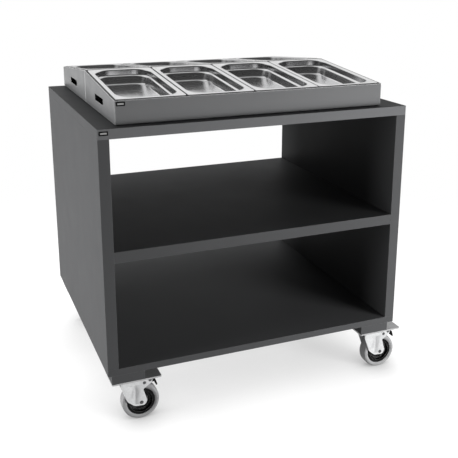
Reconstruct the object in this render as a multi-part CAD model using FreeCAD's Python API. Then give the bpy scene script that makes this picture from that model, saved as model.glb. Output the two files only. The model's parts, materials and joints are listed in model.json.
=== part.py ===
import FreeCAD
import Part
import math
import os

Vector = FreeCAD.Vector
UP = Vector(0, 0, 1)
RIGHT = Vector(1, 0, 0)
BACK = Vector(0, 1, 0)

# Buffet cart: an open board carcass on four braked castors, with two low boxes of food pans on top.
# Millimetres. X runs to the right, Y to the back and Z up. The floor is Z = 0, and the origin lies
# midway between the left side and the end of the mounting plates that stand out on the right.

# Board carcass
carcass_width = 840.0
carcass_depth = 700.0
side_thickness = 28.0
top_thickness = 25.0
shelf_thickness = 28.0
bottom_thickness = 18.0
upper_bay_height = 280.0
lower_bay_height = 284.0
board_edge_bevel = 0.8

# Dowels and screws that hold the boards together
dowel_diameter = 8.0
dowel_end_depth = 18.0
dowel_face_depth = 12.0
dowel_inset = 60.0
drill_clearance = 0.1
drill_overrun = 0.8
panel_screw_diameter = 5.0
panel_screw_length = 50.0
screw_head_diameter = 9.0
screw_head_height = 2.5

# Spacer blocks and steel mounting plates above the castors
block_width = 86.0
block_depth = 85.0
block_height = 24.0
block_left_inset = 9.0
block_right_inset = 19.0
plate_length = 130.5
plate_thickness = 4.0
plate_corner_radius = 4.0

# Castor as a whole, its top plate and its swivel
castor_height = 124.0
castor_setback = 40.0
castor_offset = 11.0
castor_trail = 26.0
castor_plate_size = 72.0
castor_plate_thickness = 3.0
castor_plate_corner_radius = 6.0
castor_bolt_spacing = 48.0
castor_bolt_diameter = 6.0
castor_bolt_head_width = 10.0
castor_bolt_head_height = 4.0
castor_bolt_bite = 12.0
race_diameter = 46.0
race_height = 5.0
kingpin_diameter = 12.0
kingpin_head_diameter = 20.0
kingpin_head_height = 3.0
kingpin_recess = 0.5
swivel_gap = 0.4
running_clearance = 0.05

# Wheel, tyre and axle
wheel_diameter = 100.0
tyre_width = 32.0
tyre_height = 12.0
tyre_shoulder = 5.0
wheel_rim_width = 28.0
wheel_rim_height = 8.0
wheel_web_thickness = 14.0
wheel_hub_diameter = 28.0
wheel_hub_overhang = 1.0
wheel_draft = 2.0
axle_diameter = 8.0
axle_head_diameter = 10.0
axle_head_height = 2.0
axle_nut_width = 13.0
axle_nut_height = 6.5
axle_thread_end = 1.5

# Pressed fork
fork_sheet = 3.0
fork_side_gap = 0.5
fork_bend_radius = 3.0
fork_front_reach = 27.0
fork_back_reach = 27.0
fork_crown_drop = 14.0
fork_edge_radius = 3.0
fork_foot_radius = 11.0
fork_foot_back = 4.0
fork_foot_rise = 2.0
fork_heel_radius = 19.5
fork_heel_front = 22.0
fork_heel_rise = 17.0
fork_waist_back = 3.0
fork_waist_rise = 37.0
fork_crease_width = 3.0
fork_crease_depth = 0.8
fork_crease_front = 18.0
fork_crease_rise = 2.0
fork_crease_length = 54.0

# Brake pedal on its pin between the two ears of the fork
brake_pin_diameter = 6.0
brake_pin_reach = 24.5
brake_pin_above_tyre = 10.5
brake_pin_head_diameter = 9.0
brake_pin_head_height = 1.5
brake_stop_reach = 9.0
brake_stop_above_tyre = 5.0
brake_ear_radius = 7.0
brake_hub_radius = 6.0
brake_arm_width = 16.0
brake_arm_end_radius = 3.0
brake_arm_drop = 10.0
brake_arm_reach = 14.0
brake_shoe_radius = 4.0
brake_shoe_reach = 5.5
brake_shoe_drop = 12.0
pedal_width = 36.0
pedal_half_length = 7.0
pedal_half_thickness = 2.0
pedal_tilt = 70.0
pedal_reach = 15.5
pedal_drop = 11.5

# Food pans, lying on a slope
pans_per_box = 4
pan_width = 176.0
pan_length = 325.0
pan_depth = 40.0
pan_sheet = 1.0
pan_rim_width = 12.0
pan_rim_radius = 9.0
pan_rim_lip = 5.0
pan_corner_radius = 46.0
pan_shoulder_drop = 16.0
pan_shoulder_height = 2.5
pan_shoulder_inset = 4.0
pan_wall_taper = 3.0
pan_floor_bevel = 6.0
pan_slope = 5.1
pan_gap = 4.0
pan_end_gap = 3.5
pan_rim_proud = 1.5

# Sheet-metal pan boxes and the rubber pads that they stand on
box_left_margin = 49.0
box_front_margin = 26.0
box_between_gap = 1.0
box_sheet = 2.0
box_front_height = 60.0
box_ledge_width = 9.0
box_flange_width = 14.0
hand_slot_length = 95.0
hand_slot_height = 17.0
hand_slot_centre_height = 36.5
hand_slot_radius = 3.0
pad_diameter = 12.0
pad_height = 2.5
pad_inset = 9.0

# Levels and places that follow from the sizes above
plate_overhang = plate_length - block_width - block_right_inset
carcass_left = -(carcass_width + plate_overhang) / 2
carcass_right = carcass_left + carcass_width
carcass_front = -carcass_depth / 2
carcass_back = carcass_depth / 2
plate_base = castor_height
block_base = plate_base + plate_thickness
bottom_base = block_base + block_height
side_base = bottom_base + bottom_thickness
shelf_base = side_base + lower_bay_height
side_top = shelf_base + shelf_thickness + upper_bay_height
table_top = side_top + top_thickness
inner_left = carcass_left + side_thickness
inner_right = carcass_right - side_thickness
axle_height = wheel_diameter / 2
castor_plate_base = castor_height - castor_plate_thickness
race_base = castor_plate_base - race_height
crown_top = race_base - swivel_gap
crown_base = crown_top - fork_sheet
fork_inner = tyre_width / 2 + wheel_hub_overhang + fork_side_gap
fork_outer = fork_inner + fork_sheet
brake_pin_x = castor_trail + brake_pin_reach
brake_pin_z = wheel_diameter + brake_pin_above_tyre
brake_stop_x = castor_trail + brake_stop_reach
brake_stop_z = wheel_diameter + brake_stop_above_tyre
slope = math.radians(pan_slope)
pan_pitch = pan_width + pan_gap
box_length = pans_per_box * pan_pitch - pan_gap + 2 * (pan_end_gap + box_sheet)
box_depth = pan_length * math.cos(slope) + 2 * (pan_end_gap + box_sheet)
box_ridge_height = box_front_height + box_depth * math.tan(slope)
CORNERS = ("front_left", "front_right", "rear_left", "rear_right")


def on_plan(height):
    """Maps outline coordinates to a level plane."""
    return lambda u, v: Vector(u, v, height)


def on_side(depth):
    """Maps outline coordinates to an upright plane that faces front."""
    return lambda u, v: Vector(u, depth, v)


def on_end(across):
    """Maps outline coordinates to an upright plane that faces left."""
    return lambda u, v: Vector(across, u, v)


def hull_wire(circles, place):
    """Closed wire of the tangents and arcs round circles (u, v, radius), listed counter-clockwise."""
    headings = []
    for (u1, v1, r1), (u2, v2, r2) in zip(circles, circles[1:] + circles[:1]):
        lean = math.asin((r1 - r2) / math.hypot(u2 - u1, v2 - v1))
        headings.append(math.atan2(v2 - v1, u2 - u1) - math.pi / 2 + lean)
    edges = []
    for index, (u, v, radius) in enumerate(circles):
        arrive, leave = headings[index - 1], headings[index]
        sweep = (leave - arrive) % (2 * math.pi)
        ends = [place(u + radius * math.cos(a), v + radius * math.sin(a))
                for a in (arrive, arrive + sweep / 2, leave)]
        if radius > 0:
            edges.append(Part.Arc(*ends).toShape())
        u2, v2, radius2 = circles[(index + 1) % len(circles)]
        reached = place(u2 + radius2 * math.cos(leave), v2 + radius2 * math.sin(leave))
        edges.append(Part.LineSegment(ends[2], reached).toShape())
    return Part.Wire(edges)


def hull_prism(circles, place, travel):
    """Straight solid on the outline round the circles."""
    return Part.Face(hull_wire(circles, place)).extrude(travel)


def rounded_rectangle(u1, v1, u2, v2, radius):
    """Corner circles of a rectangle."""
    low_u, low_v, high_u, high_v = u1 + radius, v1 + radius, u2 - radius, v2 - radius
    corners = [(low_u, low_v), (high_u, low_v), (high_u, high_v), (low_u, high_v)]
    return [(u, v, radius) for u, v in corners]


def rod(radius, start, direction, length):
    """Round bar from a start point."""
    return Part.makeCylinder(radius, length, start, direction)


def hexagon(width_across_flats, start, direction, height):
    """Hexagon prism for bolt heads and nuts."""
    corner = width_across_flats / math.sqrt(3)
    side = direction.cross(RIGHT if abs(direction.x) < 0.5 else UP)
    other = direction.cross(side)
    turns = [k * math.pi / 3 for k in range(7)]
    points = [start + side * (corner * math.cos(a)) + other * (corner * math.sin(a)) for a in turns]
    return Part.Face(Part.makePolygon(points)).extrude(direction * height)


def board(x1, y1, z1, x2, y2, z2):
    """Board between two corners, with its edges broken."""
    block = Part.makeBox(x2 - x1, y2 - y1, z2 - z1, Vector(x1, y1, z1))
    return block.makeChamfer(board_edge_bevel, block.Edges)


def drilled(shape, holes):
    """Shape with all its holes cut."""
    return shape.cut(Part.makeCompound(holes))


def countersunk(diameter, start, length, clearance=0.0):
    """Countersunk screw, or its hole, pointing up from its head."""
    radius = diameter / 2 + clearance
    shank = rod(radius, start, UP, length)
    head = Part.makeCone(screw_head_diameter / 2 + clearance, radius, screw_head_height, start, UP)
    return shank.fuse(head).removeSplitter()


def turned(profile, centre, axis):
    """Solid of revolution of a closed profile of points."""
    return Part.Face(Part.makePolygon(profile + profile[:1])).revolve(centre, axis, 360)


# Where the boards are joined
joint_rows = [carcass_front + dowel_inset, 0.0, carcass_back - dowel_inset]
screw_rows = [(joint_rows[0] + joint_rows[1]) / 2, (joint_rows[1] + joint_rows[2]) / 2]
side_middles = [carcass_left + side_thickness / 2, carcass_right - side_thickness / 2]
shelf_middle = shelf_base + shelf_thickness / 2


def dowel_places():
    """Joint point of each dowel, with the direction from board end to board face."""
    places = []
    for y in joint_rows:
        for x in side_middles:
            places.append((Vector(x, y, side_top), UP))
            places.append((Vector(x, y, side_base), UP * -1))
        places.append((Vector(inner_left, y, shelf_middle), RIGHT * -1))
        places.append((Vector(inner_right, y, shelf_middle), RIGHT))
    return places


def dowels(clearance, overrun):
    """All dowels, or the holes for them."""
    length = dowel_end_depth + dowel_face_depth + 2 * overrun
    return [rod(dowel_diameter / 2 + clearance, point - along * (dowel_end_depth + overrun), along, length)
            for point, along in dowel_places()]


def panel_screws(clearance, overrun):
    """Screws up through the bottom panel into the side panels, or the holes for them."""
    length = panel_screw_length + overrun
    return [countersunk(panel_screw_diameter, Vector(x, y, bottom_base), length, clearance)
            for x in side_middles for y in screw_rows]


def castor_places():
    """Corner name, block left end, block front edge, and swivel axis of each castor."""
    places = {}
    for corner in CORNERS:
        end, side = corner.split("_")
        left = carcass_left + block_left_inset
        if side == "right":
            left = carcass_right - block_right_inset - block_width
        front = carcass_front if end == "front" else carcass_back - block_depth
        axis_y = carcass_front + castor_setback if end == "front" else carcass_back - castor_setback
        places[corner] = (left, front, Vector(left + block_width / 2 + castor_offset, axis_y, 0))
    return places


def bolt_points(axis):
    """The four bolts of one castor."""
    half = castor_bolt_spacing / 2
    return [axis + Vector(dx, dy, castor_plate_base) for dx in (-half, half) for dy in (-half, half)]


def castor_bolts(clearance, overrun):
    """Shanks of all castor bolts, up into the bottom panel, or the holes for them."""
    length = castor_plate_thickness + plate_thickness + block_height + castor_bolt_bite + overrun
    return [rod(castor_bolt_diameter / 2 + clearance, point, UP, length)
            for left, front, axis in castor_places().values() for point in bolt_points(axis)]


def castor_bolt_heads():
    """Heads of the castor bolts, under the castor plates."""
    start = UP * castor_bolt_head_height
    return [hexagon(castor_bolt_head_width, point - start, UP, castor_bolt_head_height)
            for left, front, axis in castor_places().values() for point in bolt_points(axis)]


def carcass_nodes():
    """Boards, with the dowels and screws that join them."""
    holes = dowels(drill_clearance, drill_overrun) + panel_screws(drill_clearance, drill_overrun)
    bolt_holes = castor_bolts(drill_clearance, drill_overrun)
    front, back = carcass_front, carcass_back
    top = board(carcass_left, front, side_top, carcass_right, back, table_top)
    left = board(carcass_left, front, side_base, inner_left, back, side_top)
    right = board(inner_right, front, side_base, carcass_right, back, side_top)
    shelf = board(inner_left, front, shelf_base, inner_right, back, shelf_base + shelf_thickness)
    bottom = board(carcass_left, front, bottom_base, carcass_right, back, side_base)
    return {
        "top_panel": drilled(top, holes),
        "left_side_panel": drilled(left, holes),
        "right_side_panel": drilled(right, holes),
        "middle_shelf": drilled(shelf, holes),
        "bottom_panel": drilled(bottom, holes + bolt_holes),
        "panel_dowels": Part.makeCompound(dowels(0.0, 0.0)),
        "bottom_panel_screws": Part.makeCompound(panel_screws(0.0, 0.0)),
    }


def castor_support_nodes():
    """Spacer blocks, mounting plates and castor plates, with their fasteners, races and kingpins."""
    holes = castor_bolts(drill_clearance, drill_overrun)
    nodes = {}
    races = []
    kingpins = []
    for corner, (left, front, axis) in castor_places().items():
        block = board(left, front, block_base, left + block_width, front + block_depth, bottom_base)
        nodes["castor_block_" + corner] = drilled(block, holes)
        outline = rounded_rectangle(left, front, left + plate_length, front + block_depth,
                                    plate_corner_radius)
        plate = hull_prism(outline, on_plan(plate_base), UP * plate_thickness)
        nodes["mounting_plate_" + corner] = drilled(plate, holes)
        half = castor_plate_size / 2
        outline = rounded_rectangle(axis.x - half, axis.y - half, axis.x + half, axis.y + half,
                                    castor_plate_corner_radius)
        plate = hull_prism(outline, on_plan(castor_plate_base), UP * castor_plate_thickness)
        pin_hole = rod(kingpin_diameter / 2 + running_clearance, axis, UP, castor_height)
        nodes["castor_plate_" + corner] = drilled(plate, holes + [pin_hole])
        races.append(rod(race_diameter / 2, axis + UP * race_base, UP, race_height).cut(pin_hole))
        kingpins.append(kingpin(axis))
    bolts = [shank.fuse(head).removeSplitter()
             for shank, head in zip(castor_bolts(0.0, 0.0), castor_bolt_heads())]
    nodes["castor_bolts"] = Part.makeCompound(bolts)
    nodes["swivel_races"] = Part.makeCompound(races)
    nodes["kingpins"] = Part.makeCompound(kingpins)
    return nodes


def kingpin(axis):
    """Rivet that carries the fork's crown under the castor plate."""
    head_top = crown_base - swivel_gap
    head_base = head_top - kingpin_head_height
    pin_top = castor_height - kingpin_recess
    shank = rod(kingpin_diameter / 2, axis + UP * head_base, UP, pin_top - head_base)
    head = rod(kingpin_head_diameter / 2, axis + UP * head_base, UP, kingpin_head_height)
    return shank.fuse(head).removeSplitter()


def fork_leg():
    """Two outlines that make up the leg's side view: crown down to heel and waist, then on to the axle."""
    edge = fork_edge_radius
    heel = (castor_trail - fork_heel_front, axle_height + fork_heel_rise, fork_heel_radius)
    foot = (castor_trail + fork_foot_back, axle_height + fork_foot_rise, fork_foot_radius)
    waist = (castor_trail + fork_waist_back, axle_height + fork_waist_rise, edge)
    upper = [
        heel,
        waist,
        (fork_back_reach - edge, crown_top, 0.0),
        (edge - fork_front_reach, crown_top, 0.0),
        (edge - fork_front_reach, crown_top - fork_crown_drop, edge),
    ]
    return [upper, [heel, foot, waist]]


def fork_ear():
    """Outline of the ear that carries the brake."""
    return [
        (castor_trail, axle_height + fork_waist_rise, fork_edge_radius),
        (brake_pin_x, brake_pin_z, brake_ear_radius),
        (castor_trail, crown_top - fork_bend_radius - fork_sheet, 0.0),
    ]


def fork():
    """Fork pressed from one sheet: crown, two legs with a crease, and two ears for the brake."""
    start = -fork_front_reach
    length = fork_front_reach + castor_trail + fork_foot_back + 2 * fork_foot_radius
    bend = fork_bend_radius
    outer = rounded_rectangle(-fork_outer, -crown_top, fork_outer, crown_top, bend + fork_sheet)
    inner = rounded_rectangle(-fork_inner, -crown_base, fork_inner, crown_base, bend)
    bar, core = [hull_prism(section, on_end(start), RIGHT * length) for section in (outer, inner)]
    across = BACK * (2 * fork_outer)
    upper, lower = [hull_prism(outline, on_side(-fork_outer), across) for outline in fork_leg()]
    ears = [hull_prism(fork_ear(), on_side(y), BACK * fork_sheet) for y in (-fork_outer, fork_inner)]
    shape = bar.cut(core).common(upper.fuse(lower)).fuse(ears).removeSplitter()
    holes = [
        rod(kingpin_diameter / 2 + running_clearance, UP * (crown_base - fork_sheet), UP, 3 * fork_sheet),
        cross_rod(axle_diameter / 2 + running_clearance, castor_trail, axle_height),
        cross_rod(brake_pin_diameter / 2 + running_clearance, brake_pin_x, brake_pin_z),
        cross_rod(brake_pin_diameter / 2 + running_clearance, brake_stop_x, brake_stop_z),
    ]
    return drilled(shape, holes + fork_creases())


def cross_rod(radius, x, z):
    """Bar right across the fork."""
    return rod(radius, Vector(x, -2 * fork_outer, z), BACK, 4 * fork_outer)


def fork_creases():
    """Upright V-grooves pressed into the outer face of both legs."""
    x = castor_trail - fork_crease_front
    base = axle_height + fork_crease_rise
    half = fork_crease_width / 2
    grooves = []
    for side in (-1, 1):
        face = side * (fork_outer + fork_crease_depth)
        tip = side * (fork_outer - fork_crease_depth)
        points = [Vector(x - 2 * half, face, base), Vector(x, tip, base), Vector(x + 2 * half, face, base)]
        outline = Part.Face(Part.makePolygon(points + points[:1]))
        grooves.append(outline.extrude(UP * fork_crease_length))
    return grooves


def axle_bolt():
    """Axle bolt with its low round head in front of the fork, and its nut behind."""
    start = Vector(castor_trail, -fork_outer, axle_height)
    end = Vector(castor_trail, fork_outer, axle_height)
    head = rod(axle_head_diameter / 2, start - BACK * axle_head_height, BACK, axle_head_height)
    reach = 2 * fork_outer + axle_nut_height + axle_thread_end
    shank = rod(axle_diameter / 2, start, BACK, reach)
    nut = hexagon(axle_nut_width, end, BACK, axle_nut_height)
    thread = rod(axle_diameter / 2 + running_clearance, end, BACK, axle_nut_height)
    return Part.makeCompound([head.fuse(shank).removeSplitter(), nut.cut(thread)])


def wheel_point(radius, across):
    """Point of a wheel profile."""
    return Vector(castor_trail, across, axle_height + radius)


def wheel_centre():
    """Moulded wheel centre: hub, recessed web and rim."""
    bore = axle_diameter / 2 + running_clearance
    hub = wheel_hub_diameter / 2
    rim = wheel_diameter / 2 - tyre_height
    rim_inside = rim - wheel_rim_height
    hub_face = tyre_width / 2 + wheel_hub_overhang
    half = [
        (bore, hub_face),
        (hub, hub_face),
        (hub + wheel_draft, wheel_web_thickness / 2),
        (rim_inside - wheel_draft, wheel_web_thickness / 2),
        (rim_inside, wheel_rim_width / 2),
        (rim, wheel_rim_width / 2),
    ]
    profile = [wheel_point(r, w) for r, w in half] + [wheel_point(r, -w) for r, w in reversed(half)]
    return turned(profile, wheel_point(0, 0), BACK)


def tyre():
    """Tyre with bevelled shoulders, seated on the wheel's rim."""
    outside = wheel_diameter / 2
    inside = outside - tyre_height
    half = [
        (inside, wheel_rim_width / 2),
        (outside - tyre_shoulder, tyre_width / 2),
        (outside, tyre_width / 2 - tyre_shoulder),
    ]
    profile = [wheel_point(r, w) for r, w in half] + [wheel_point(r, -w) for r, w in reversed(half)]
    return turned(profile, wheel_point(0, 0), BACK)


def brake_pins():
    """Pedal pin and stop pin, riveted over outside the two ears."""
    pins = []
    for x, z in ((brake_pin_x, brake_pin_z), (brake_stop_x, brake_stop_z)):
        start = Vector(x, -fork_outer, z)
        shank = rod(brake_pin_diameter / 2, start, BACK, 2 * fork_outer)
        near = rod(brake_pin_head_diameter / 2, start, BACK * -1, brake_pin_head_height)
        far = rod(brake_pin_head_diameter / 2, start + BACK * (2 * fork_outer), BACK, brake_pin_head_height)
        pins.append(shank.fuse([near, far]).removeSplitter())
    return Part.makeCompound(pins)


def brake_pedal():
    """Pedal: hub on its pin, arm with the brake shoe over the tyre, and a tilted foot plate."""
    x, z = brake_pin_x, brake_pin_z
    hub_width = 2 * (fork_inner - fork_side_gap)
    hub = rod(brake_hub_radius, Vector(x, -hub_width / 2, z), BACK, hub_width)
    arm_outline = [
        (x + brake_shoe_reach, z - brake_shoe_drop, brake_shoe_radius),
        (x + brake_arm_reach, z - brake_arm_drop, brake_arm_end_radius),
        (x, z, brake_hub_radius),
    ]
    arm = hull_prism(arm_outline, on_side(-brake_arm_width / 2), BACK * brake_arm_width)
    tilt = math.radians(pedal_tilt)
    du, dv = pedal_half_length * math.cos(tilt), pedal_half_length * math.sin(tilt)
    centre_x, centre_z = x + pedal_reach, z - pedal_drop
    plate_outline = [
        (centre_x + du, centre_z - dv, pedal_half_thickness),
        (centre_x - du, centre_z + dv, pedal_half_thickness),
    ]
    plate = hull_prism(plate_outline, on_side(-pedal_width / 2), BACK * pedal_width)
    bore = cross_rod(brake_pin_diameter / 2 + running_clearance, x, z)
    return hub.fuse([arm, plate]).removeSplitter().cut(bore)


def castor_nodes():
    """Fork, axle, wheel, tyre and brake of every castor, all trailing to the right."""
    pieces = {
        "castor_fork": fork(),
        "axle_bolt": axle_bolt(),
        "wheel_centre": wheel_centre(),
        "tyre": tyre(),
        "brake_pins": brake_pins(),
        "brake_pedal": brake_pedal(),
    }
    nodes = {}
    for corner, (left, front, axis) in castor_places().items():
        for name, shape in pieces.items():
            nodes[name + "_" + corner] = shape.translated(axis)
    return nodes


def pan_section(inset, height):
    """Level section of a pan's bowl, drawn in from its opening."""
    half_width = pan_width / 2 - pan_rim_width - inset
    half_length = pan_length / 2 - pan_rim_width - inset
    circles = rounded_rectangle(-half_width, -half_length, half_width, half_length, pan_corner_radius - inset)
    return hull_wire(circles, on_plan(height))


def pan():
    """Food pan round its own centre, with the top of its rim at height 0."""
    low_wall = pan_shoulder_inset + pan_wall_taper
    shoulder_end = pan_shoulder_drop + pan_shoulder_height
    sheet = pan_sheet
    hollow = [
        (0.0, sheet),
        (0.0, -pan_shoulder_drop),
        (pan_shoulder_inset, -shoulder_end),
        (low_wall, pan_floor_bevel - pan_depth),
        (low_wall + pan_floor_bevel, -pan_depth),
    ]
    body = [
        (-sheet, 0.0),
        (-sheet, -pan_shoulder_drop - sheet / 2),
        (pan_shoulder_inset - sheet, -shoulder_end - sheet / 2),
        (low_wall - sheet, -pan_depth - sheet),
    ]
    bowl = Part.makeLoft([pan_section(*level) for level in body], True, True)
    inside = Part.makeLoft([pan_section(*level) for level in hollow], True, True)
    half_width, half_length = pan_width / 2, pan_length / 2
    edge = rounded_rectangle(-half_width, -half_length, half_width, half_length, pan_rim_radius)
    half_width, half_length = half_width - sheet, half_length - sheet
    within = rounded_rectangle(-half_width, -half_length, half_width, half_length, pan_rim_radius - sheet)
    rim = hull_prism(edge, on_plan(-pan_rim_lip), UP * pan_rim_lip)
    under = hull_prism(within, on_plan(-pan_rim_lip), UP * (pan_rim_lip - sheet))
    return rim.cut(under).fuse(bowl).removeSplitter().cut(inside)


def sloped(shape, middle_height):
    """Shape drawn level round its centre, laid on the slope at the middle of the box's depth."""
    tilted = shape.rotated(Vector(0, 0, 0), RIGHT, pan_slope)
    return tilted.translated(Vector(0, box_depth / 2, middle_height))


def box_core(inset):
    """Upright block that keeps the same distance from all four walls of a box."""
    size = (box_length - 2 * inset, box_depth - 2 * inset, box_ridge_height)
    return Part.makeBox(*size, Vector(inset, inset, 0))


def pan_box():
    """Box of folded sheet round the pans: sloped walls, ledge for the rims, foot flange and hand slots."""
    t = box_sheet
    walls = [(0, pad_height), (box_depth, pad_height), (box_depth, box_ridge_height), (0, box_front_height)]
    block = hull_prism([(y, z, 0.0) for y, z in walls], on_end(0), RIGHT * box_length)
    room = box_core(t)
    flange = room.common(Part.makeBox(box_length, box_depth, t, Vector(0, 0, pad_height)))
    flange = flange.cut(box_core(t + box_flange_width))
    ledge_top = middle_rim_height() - pan_rim_lip / math.cos(slope)
    half_length, half_depth = box_length / 2, box_depth / 2
    ledge = Part.makeBox(box_length, 2 * box_depth, t, Vector(-half_length, -box_depth, -t))
    ledge = sloped(ledge, ledge_top).translated(Vector(half_length, 0, 0))
    ledge = ledge.common(room).cut(box_core(t + box_ledge_width))
    half_slot = hand_slot_length / 2
    slot = rounded_rectangle(
        half_depth - half_slot, hand_slot_centre_height - hand_slot_height / 2,
        half_depth + half_slot, hand_slot_centre_height + hand_slot_height / 2, hand_slot_radius)
    slots = hull_prism(slot, on_end(0), RIGHT * box_length)
    return block.cut(room).fuse([flange, ledge]).removeSplitter().cut(slots)


def middle_rim_height():
    """Height of the rim tops at the middle of the box's depth."""
    return (box_front_height + box_ridge_height) / 2 + pan_rim_proud / math.cos(slope)


def box_pads():
    """Rubber pads in the corners under the foot flange."""
    return [rod(pad_diameter / 2, Vector(x, y, 0), UP, pad_height)
            for x in (pad_inset, box_length - pad_inset) for y in (pad_inset, box_depth - pad_inset)]


def pan_places():
    """Middle of each pan along the box."""
    first = box_sheet + pan_end_gap + pan_width / 2
    return [first + index * pan_pitch for index in range(pans_per_box)]


def pan_box_nodes():
    """Front box as it stands, and the same box turned half round behind it."""
    corner = Vector(carcass_left + box_left_margin, carcass_front + box_front_margin, table_top)
    ridge = corner + Vector(box_length / 2, box_depth + box_between_gap / 2, 0)
    pieces = {"pan_box": pan_box(), "box_pads": Part.makeCompound(box_pads())}
    one_pan = sloped(pan(), middle_rim_height())
    for index, x in enumerate(pan_places()):
        pieces["pan_%d" % (index + 1)] = one_pan.translated(Vector(x, 0, 0))
    nodes = {}
    for name, shape in pieces.items():
        front = shape.translated(corner)
        nodes["front_" + name] = front
        nodes["rear_" + name] = front.rotated(ridge, UP, 180)
    return nodes


def cart_nodes():
    """Every piece of the cart under its node name."""
    nodes = carcass_nodes()
    nodes.update(castor_support_nodes())
    nodes.update(castor_nodes())
    nodes.update(pan_box_nodes())
    return nodes


os.makedirs("parts", exist_ok=True)
for node, shape in cart_nodes().items():
    shape.exportStep(os.path.join("parts", node + ".step"))
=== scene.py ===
"""Looks of the buffet cart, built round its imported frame. Metres, X to the right, Y to the back, Z up."""
import json
import math

import bmesh
import bpy
from mathutils import Matrix, Vector


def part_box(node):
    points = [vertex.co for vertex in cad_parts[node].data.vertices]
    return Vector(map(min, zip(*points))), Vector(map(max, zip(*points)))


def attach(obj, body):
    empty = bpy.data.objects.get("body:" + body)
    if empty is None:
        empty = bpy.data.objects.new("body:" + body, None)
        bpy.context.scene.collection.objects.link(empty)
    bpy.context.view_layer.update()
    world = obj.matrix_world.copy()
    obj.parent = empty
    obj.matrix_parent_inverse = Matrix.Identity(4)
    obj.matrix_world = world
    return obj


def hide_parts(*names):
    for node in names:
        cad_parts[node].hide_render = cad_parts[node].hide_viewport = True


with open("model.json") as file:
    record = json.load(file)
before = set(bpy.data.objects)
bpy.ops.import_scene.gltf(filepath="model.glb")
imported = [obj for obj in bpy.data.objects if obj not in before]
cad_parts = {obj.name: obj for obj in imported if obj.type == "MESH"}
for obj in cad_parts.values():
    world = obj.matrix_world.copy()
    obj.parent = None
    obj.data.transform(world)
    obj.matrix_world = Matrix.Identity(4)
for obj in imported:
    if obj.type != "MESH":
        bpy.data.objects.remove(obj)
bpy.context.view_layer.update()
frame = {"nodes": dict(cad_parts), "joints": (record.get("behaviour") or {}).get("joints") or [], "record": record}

MM = 0.001
TINY = 0.001 * MM
CORNERS = ("front_left", "front_right", "rear_left", "rear_right")
ENDS = ("front", "rear")
PANS = (1, 2, 3, 4)
BOARDS = ("top_panel", "left_side_panel", "right_side_panel", "middle_shelf", "bottom_panel")

# Camera: the photograph's viewpoint, with its image size and the height of its optical centre in pixels
IMAGE_SIZE = 458
FOCAL_PIXELS = 755.0
CENTRE_ROW = 170.0
CAMERA_PLACE = Vector((-0.7825, -2.035, 1.149))
CAMERA_YAW = math.radians(21.87)
CAMERA_PITCH = math.radians(15.1)
SENSOR = 36.0

# Soft boxes: name, place, target, size, and power in watts
SOFT_BOXES = (
    ("left_box", (-2.7, 0.0, 0.8), (-0.4, 0.0, 0.45), 1.5, 66.0),
    ("front_right_box", (1.45, -1.95, 0.5), (0.2, 0.0, 0.6), 0.8, 57.0),
    ("top_box", (0.2, 1.2, 2.6), (0.0, 0.2, 0.8), 1.6, 14.0),
    ("back_box", (0.7, 2.6, 0.45), (0.0, 0.3, 0.45), 0.7, 28.0),
)

# Surroundings: a fill light, and the room that metal mirrors, as spans of direction and of brightness
WHITE = (1.0, 1.0, 1.0, 1.0)
FILL_LIGHT = 0.06
ROOM_BY_DEPTH = ((-0.35, 0.1), (0.1, 1.0))
ROOM_BY_HEIGHT = ((0.14, 0.3), (0.4, 0.95))

# Floor: half its side, its finish, and spans of distance or openness with the values at their two ends
FLOOR_HALF = 20.0
FLOOR_TONE = 0.3
FLOOR_ROUGHNESS = 0.9
FLOOR_MIRRORED = ((-1.2, -0.6), (0.1, 1.0))
FLOOR_FADE = ((0.9, 1.9), (0.0, 1.0))
CONTACT_SPAN = (0.0, 0.95)
CONTACT_SHADES = ((0.24, (0.4, 0.98)), (0.1, (0.36, 1.0)))
CONTACT_SAMPLES = 16

# Finishes: usual span of a noise, span of the cosine of two normals at an edge, how far the roughness
# varies from that named, and the places of the colour sockets of a mix
UNIT = (0.0, 1.0)
NOISE_SPAN = (0.3, 0.7)
EDGE_SPAN = (0.995, 0.88)
EDGE_SAMPLES = 4
ZINC_ROUGHER = 0.12
PLASTIC_SMOOTHER, PLASTIC_ROUGHER = 0.06, 0.08
MIX_FIRST, MIX_SECOND, MIX_RESULT = 6, 7, 2

# Meshes: steps of round forms, the gap that is welded, and degrees between two faces from which the edge
# between them is shaded sharp or gets a bevel
TURN_STEPS = 72
ROUND_STEPS = 32
ARC_STEPS = 8
DOME_STEPS = 5
BEVEL_STEPS = 2
WELD_GAP = 0.05 * MM
SHARP = 30
PAN_SHARP = 38
TYRE_SHARP = 60
WHEEL_SHARP = 28
RIVET_SHARP = 40
BEVEL_SHARP = 40

# Boards
BOARD_ROUND = 0.5 * MM
BOARD_ROUND_STEPS = 3
BOARD_ROUND_PROFILE = 0.5
BOARD_TONES = (0.078, 0.084, 0.104)
BOARD_TINT = (1.0, 1.012, 1.04)
# The top panel's front and back faces take a lighter copy of the laminate: painted sheen
SHEEN_PAINTED_BOARD = "top_panel"
PAINTED_SHEEN_LEVEL = 1.85
PAINTED_SHEEN_NORMAL = 0.9

# Pan boxes
BOX_CORNER = 2.4 * MM
BOX_CORNER_LEAST = 0.3 * MM
BOX_CORNER_STEPS = 5
BOX_SHEET = 2.0 * MM
BOX_LEDGE = 9.0 * MM
BOX_FLANGE = 14.0 * MM
BOX_HEM = 0.7 * MM
BOX_HEM_EASE = 0.3
# Width of the paler band painted along the ridge, and of its soft edge
BOX_RIDGE_BAND = 2.6 * MM
BOX_RIDGE_BAND_EDGE = 0.3 * MM
SLOT_LENGTH = 95.0 * MM
SLOT_HEIGHT = 17.0 * MM
SLOT_CENTRE = 34.0 * MM
SLOT_ROUND = 3.0 * MM
SLOT_STEPS = 5
SLOT_REACH = 1.1

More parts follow.
